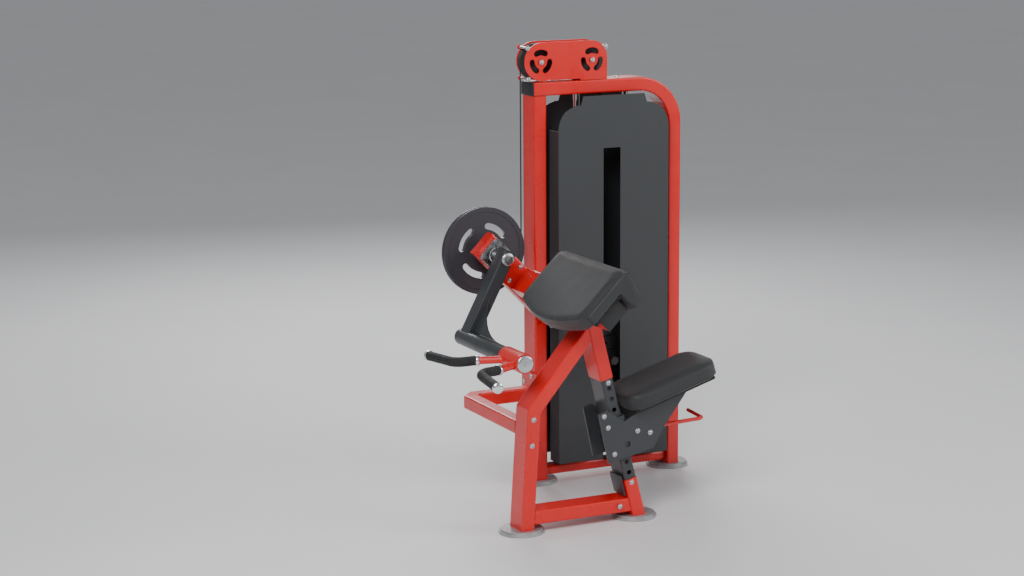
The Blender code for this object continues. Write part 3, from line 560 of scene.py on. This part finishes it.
def seat_pad():
    """Seat cushion with piping round its top and bottom edges."""
    pad = upholstered("seat_pad_cover", "seat_pad", 0.0012, 0.0045, "seat")
    along = Vector((math.cos(SEAT_TILT), 0, math.sin(SEAT_TILT)))
    up = Vector((-math.sin(SEAT_TILT), 0, math.cos(SEAT_TILT)))
    front = at(0.053, STATION_Y, 0.458)
    for label, depth in (("top", -0.006), ("bottom", -0.054)):
        corners = [front + along * u + Y_AXIS * v + up * depth
                   for u, v in ((0, -SEAT_HALF_WIDTH), (SEAT_LENGTH, -SEAT_HALF_WIDTH),
                                (SEAT_LENGTH, SEAT_HALF_WIDTH), (0, SEAT_HALF_WIDTH))]
        seam("seat_seam_" + label, pad, rounded(corners, 0.055, 8), "seat")


# ---------------------------------------------------------------- hardware

def boom_place(along, across, y):
    """World point along and across the boom from the shaft, at depth y from the tower's front."""
    place = SHAFT + DOWN_BOOM * along + UP_BOOM * across
    return Vector((place.x, CORNER.y + y, place.z))


def boom_hardware():
    """Bearing nuts, boom bolts and the cap on the pad beam's near end."""
    for k, (a, p) in enumerate(((0.035, 0.035), (0.035, -0.035), (-0.035, 0.035), (-0.035, -0.035))):
        bolt("bearing_bolt_%d" % k, boom_place(a, p, BEARING_FACE), -Y_AXIS, mesh=NUT)
    for k, across in enumerate((0.035, -0.030)):
        bolt("flange_bolt_%d" % k, boom_place(0.110, across, BOOM_FACE), -Y_AXIS)
    bolt("boom_foot_bolt", at(0.042, BOOM_FACE, 0.612), -Y_AXIS)
    low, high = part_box("pad_beam")
    centre = Vector(((low.x + high.x) / 2, low.y, (low.z + high.z) / 2))
    turn = Matrix((DOWN_BOOM, Y_AXIS, UP_BOOM)).transposed().to_4x4()
    cap = block("pad_beam_cap", (-0.0250, -0.0055, -0.0500), (0.0250, -0.0003, 0.0500), 0.0015)
    add_piece("pad_beam_cap", cap, Matrix.Translation(centre) @ turn, "frame",
              "cap_plastic")


def arm_hardware():
    """Caps on the shaft and the cross tube, and the nut that holds the cam."""
    cap = lathe("shaft_cap", [(0.0, 0.0098), (0.004, 0.0098), (0.0048, 0.0086), (0.012, 0.0085),
                              (0.0190, 0.0076),
                              (0.0228, 0.0058), (0.0242, 0.0034), (0.0242, 0.0006), (0.0, 0.0006)], 48)
    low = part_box("pivot_shaft")[0]
    add_piece("shaft_cap", cap, facing(Vector((SHAFT.x, low.y, SHAFT.z)), -Y_AXIS), "arm",
              "bright_steel")
    end = lathe("cross_tube_cap", [(0.0, 0.0120), (0.005, 0.0120), (0.0062, 0.0104), (0.0062, 0.0078),
                                   (0.020, 0.0076),
                                   (0.027, 0.0070), (0.0300, 0.0045), (0.0300, 0.0006), (0.0, 0.0006)], 48)
    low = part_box("cross_tube")[0]
    add_piece("cross_tube_cap", end, facing(Vector((CROSS.x, low.y, CROSS.z)), -Y_AXIS), "arm",
              "bright_steel")
    bolt("cam_key_bolt", Vector((SHAFT.x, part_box("pivot_shaft")[1].y, SHAFT.z)), Y_AXIS, "arm", NUT)


def handle_hardware():
    """Collar at the root of each grip and cap on its end."""
    ring = lathe("grip_collar", [(0.0150, 0.0), (0.0182, 0.0012), (0.0190, 0.0030), (0.0190, 0.0100),
                                 (0.0182, 0.0118),
                                 (0.0172, 0.0120)], 36)
    cap = lathe("grip_cap", [(0.0, 0.0062), (0.0100, 0.0060), (0.0155, 0.0050), (0.0182, 0.0022),
                             (0.0182, -0.0080),
                             (0.0174, -0.0090)], 36)
    for label, sign in (("near", -1), ("far", 1)):
        root = Vector((CROSS.x - 0.020, CORNER.y + STATION_Y + sign * 0.045, CROSS.z - 0.004))
        collar = at(-0.434, STATION_Y + sign * 0.083, 0.606)
        along = (collar - root).normalized()
        add_piece("grip_collar_" + label, ring, facing(collar - along * 0.003, along), "handles",
                  "chrome_rod")
        bend = at(-0.515, STATION_Y + sign * 0.094, 0.6035)
        end = at(-0.533, STATION_Y + sign * 0.285, 0.594)
        add_piece("grip_cap_" + label, cap, facing(end, end - bend), "handles", "chrome_rod")


def station_hardware():
    """Frame and seat-plate bolts, and a dark plate at the foot of the rail that paints the shadow on the side face
    there.
    """
    face = FRAME_FACE - 0.0001
    for k, (x, z) in enumerate(((-0.289, 0.408), (-0.296, 0.317), (0.093, 0.140), (0.047, 0.057))):
        bolt("frame_bolt_%d" % k, at(x, face, z), -Y_AXIS)
    bolt("rail_top_bolt", at(0.001, STATION_Y - 0.0482, 0.508), -Y_AXIS)
    lean = Matrix.Rotation(-RAIL_LEAN, 4, "Y")
    # Thin charcoal plate on the side face at the rail's foot: painted shadow, a dark sheet standing where there is
    # only shade.
    shadow_plate = block("rail_foot_painted_shadow", (-0.0070, -0.0400, -0.0320), (-0.0008, 0.0400, 0.0440), 0.001)
    place = Matrix.Translation(Vector((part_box("seat_rail")[1].x - 0.0430, CORNER.y + STATION_Y, 0.122)))
    add_piece("rail_foot_painted_shadow", shadow_plate, place @ lean, "frame", "charcoal_paint")
    spots = ((-0.023, 0.393), (-0.007, 0.351), (0.019, 0.253), (0.110, 0.327), (0.160, 0.316))
    for k, (x, z) in enumerate(spots):
        bolt("seat_bolt_near_%d" % k, at(x, PLATE_FACE, z), -Y_AXIS, "seat")
        bolt("seat_bolt_far_%d" % k, at(x, STATION_Y + 0.062, z), Y_AXIS, "seat", NUT)


def spacer(name, x, z, low, high, radius):
    """Bolt with its sleeve between the two cover plates, and an ear on each plate."""
    sleeve = lathe(name, [(0.0, high - low), (radius, high - low), (radius, 0.0), (0.0, 0.0)], 20)
    add_piece(name, sleeve, facing(at(x, low, z), Y_AXIS), "frame", "bright_steel")
    for label, y in (("front", low - 0.0034), ("rear", high + 0.0004)):
        ear = lathe(name + "_ear", [(0.0, 0.003), (0.0082, 0.003), (0.0088, 0.0024), (0.0088, 0.0006),
                                    (0.0082, 0.0),
                                    (0.0, 0.0)], 24)
        add_piece("%s_ear_%s" % (name, label), ear, facing(at(x, y, z), Y_AXIS), "frame",
                  "red_paint")
    bolt(name + "_bolt", at(x, low - 0.0035, z), -Y_AXIS)


def tower_hardware():
    """Pulley axle ends, cover spacers, and fasteners of the tower frame."""
    for side, x in PULLEYS:
        bolt("axle_bolt_" + side, at(x, AXLE_FRONT_END, PULLEY_HEIGHT), -Y_AXIS)
        bolt("axle_nut_" + side, at(x, AXLE_REAR_END, PULLEY_HEIGHT), Y_AXIS, mesh=NUT)
    for k, (x, z) in enumerate(((-0.0260, 1.6250), (-0.0240, 1.5130), (0.2900, 1.6200))):
        spacer("cover_spacer_%d" % k, x, z, COVER_FRONT_FACE + 0.0031, COVER_REAR_FACE - 0.0031, 0.0045)
    bolt("beam_bolt", at(0.363, 0.050, 1.5002), Z_AXIS)
    cap = block("beam_end_cap", (-0.0050, 0.0005, 1.4505), (-0.0003, 0.0995, 1.4995), 0.0015)
    add_piece("beam_end_cap", cap, Matrix.Translation(CORNER), "frame", "cap_plastic")
    for k, (y, z) in enumerate(((0.081, 0.381), (0.020, 0.412), (-0.048, 0.412))):
        bolt("link_bolt_%d" % k, at(-0.0081, y, z), -X_AXIS)


def cable_hardware():
    """Cable to the stack, its swaged fitting, and the wrap that turns with the cam."""
    box_low, box_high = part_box("cable_stack_run")
    middle_x = (box_low.x + box_high.x) / 2
    radius = (box_high.x - box_low.x) / 2
    rings = 24
    span = box_high.z - box_low.z
    column = [Vector((middle_x, TOWER_MID, box_low.z + span * k / rings)) for k in range(rings + 1)]
    run = add_piece("cable_drop", tube_along("cable_drop", column, radius), Matrix.Identity(4), "frame",
                    "black_rubber")
    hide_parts("cable_stack_run")
    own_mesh(run)
    wrap = [SHAFT + Vector((math.cos(math.radians(a)), 0, math.sin(math.radians(a)))) * CAM_LINE
            for a in range(int(CAM_ANCHOR_DEG), 356, 3)]
    wrap = [Vector((point.x, TOWER_MID, point.z)) for point in wrap]
    add_piece("cable_wrap", tube_along("cable_wrap", wrap, radius * 0.97), Matrix.Identity(4), "arm",
              "black_rubber")
    centre = Vector((middle_x, TOWER_MID, box_low.z))
    fitting = lathe("swage", [(0.0, 0.034), (0.0050, 0.034), (0.0058, 0.030), (0.0058, 0.008),
                              (0.0090, 0.004),
                              (0.0090, 0.0004), (0.0, 0.0004)], 24)
    add_piece("cable_swage", fitting, facing(centre, Z_AXIS), "stack", "bright_steel")
    anchor = math.radians(CAM_ANCHOR_DEG)
    rim = SHAFT + Vector((math.cos(anchor), 0, math.sin(anchor))) * 0.1545
    clamp = lathe("cable_clamp", [(0.0, 0.011), (0.004, 0.011), (0.0055, 0.009), (0.0055, -0.009),
                                  (0.004, -0.011),
                                  (0.0, -0.011)], 20)
    tangent = Vector((-math.sin(anchor), 0, math.cos(anchor)))
    add_piece("cable_clamp", clamp, facing(Vector((rim.x, TOWER_MID, rim.z)), tangent), "arm",
              "bright_steel")


# ---------------------------------------------------------------- stage

def stage():
    """Pale floor, soft sky and three area lights."""
    floor = bpy.data.meshes.new("floor")
    span = 60.0
    floor.from_pydata([(-span, -span, 0), (span, -span, 0), (span, span, 0), (-span, span, 0)], [],
                      [(0, 1, 2, 3)])
    obj = bpy.data.objects.new("floor", floor)
    bpy.context.scene.collection.objects.link(obj)
    pale = Surface("pale_floor", (0.74, 0.74, 0.75), 0.6)
    pale.mottle((0.74, 0.74, 0.75), 0.015, 1.5)
    floor.materials.append(pale.material)
    world = bpy.data.worlds.new("studio")
    world.use_nodes = True
    world.node_tree.nodes["Background"].inputs["Color"].default_value = (0.78, 0.80, 0.83, 1.0)
    world.node_tree.nodes["Background"].inputs["Strength"].default_value = 0.42
    bpy.context.scene.world = world
    for name, place, energy, size in (("key", (-3.2, -3.6, 4.2), 260.0, 2.4),
                                      ("fill", (3.6, -3.0, 2.8), 120.0, 3.0),
                                      ("rim", (1.0, 4.2, 3.6), 160.0, 2.6)):
        light = bpy.data.lights.new(name, "AREA")
        light.energy = energy
        light.size = size
        lamp = bpy.data.objects.new(name, light)
        lamp.location = place
        lamp.rotation_euler = (Vector((0, 0, 0.8)) - Vector(place)).to_track_quat("-Z", "Y").to_euler()
        bpy.context.scene.collection.objects.link(lamp)


def camera():
    """Long lens, looking slightly down on the machine."""
    data = bpy.data.cameras.new("camera")
    data.lens = 86.2
    data.sensor_width = 36.0
    data.shift_x = -0.078
    data.clip_end = 60.0
    obj = bpy.data.objects.new("camera", data)
    obj.location = at(-3.860, -7.942, 2.421)
    obj.rotation_euler = (math.radians(90 - 10.74), 0.0, math.radians(-27.27))
    bpy.context.scene.collection.objects.link(obj)
    bpy.context.scene.camera = obj


camera()
dress_nodes()
arm_pad()
seat_pad()
boom_hardware()
arm_hardware()
handle_hardware()
station_hardware()
tower_hardware()
cable_hardware()
stage()
